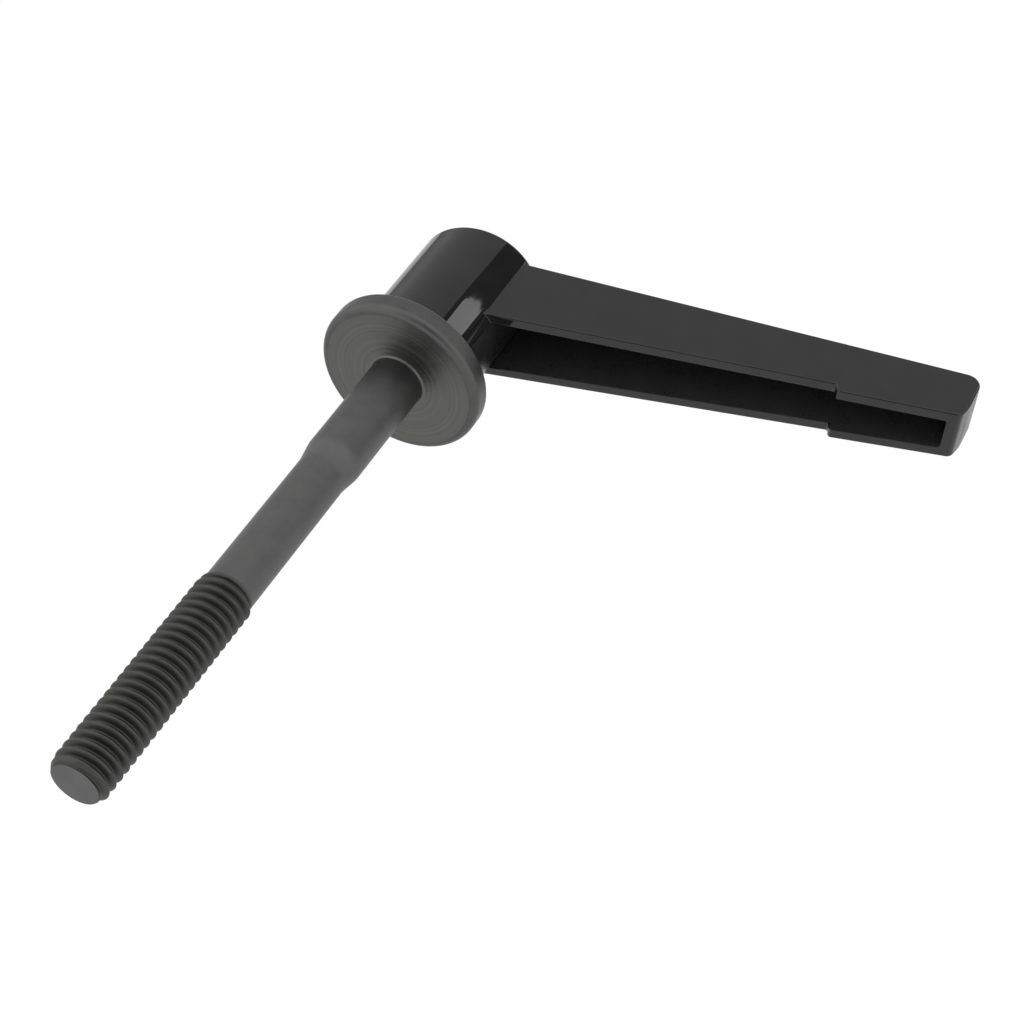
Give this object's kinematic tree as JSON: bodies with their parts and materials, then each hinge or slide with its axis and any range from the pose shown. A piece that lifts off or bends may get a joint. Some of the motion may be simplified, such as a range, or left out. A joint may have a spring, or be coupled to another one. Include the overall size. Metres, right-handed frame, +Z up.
{
  "type": "quill lock handle",
  "caption": "Adjustable clamping lever with a collared, threaded stud. It locks a drill quill; lifted against its spring, the lever re-indexes on the stud's teeth.",
  "frame": {"origin": "centre of the collar's bearing face, on the stud's axis", "axes": "stud along Y with its threaded tip at -Y, arm out along +X, +Z up with the stud held level as on a machine's side"},
  "size_m": [0.0851, 0.1138, 0.0244],
  "materials": {
    "blacked_steel": "turned steel, black oxide, satin",
    "gloss_black_enamel": "gloss black enamel on a zinc casting",
    "spring_steel": "drawn spring wire",
    "screw_steel": "black oxide"
  },
  "bodies": {
    "stud": {"stud_with_collar": "blacked_steel", "retaining_screw": "screw_steel"},
    "spring": {"return_spring": "spring_steel"},
    "lever": {"lever": "gloss_black_enamel"}
  },
  "joints": [
    {"name": "index_turn", "type": "hinge", "parent": "stud", "child": "spring", "pos_m": [0, 0, 0], "axis": [0, 1, 0], "continuous": true},
    {"name": "lever_lift", "type": "slide", "parent": "spring", "child": "lever", "axis": [0, 1, 0], "range_m": [0, 0.0046], "stiffness_N_per_m": 3000, "springref_m": -0.0037, "deforming": ["return_spring"]}
  ]
}
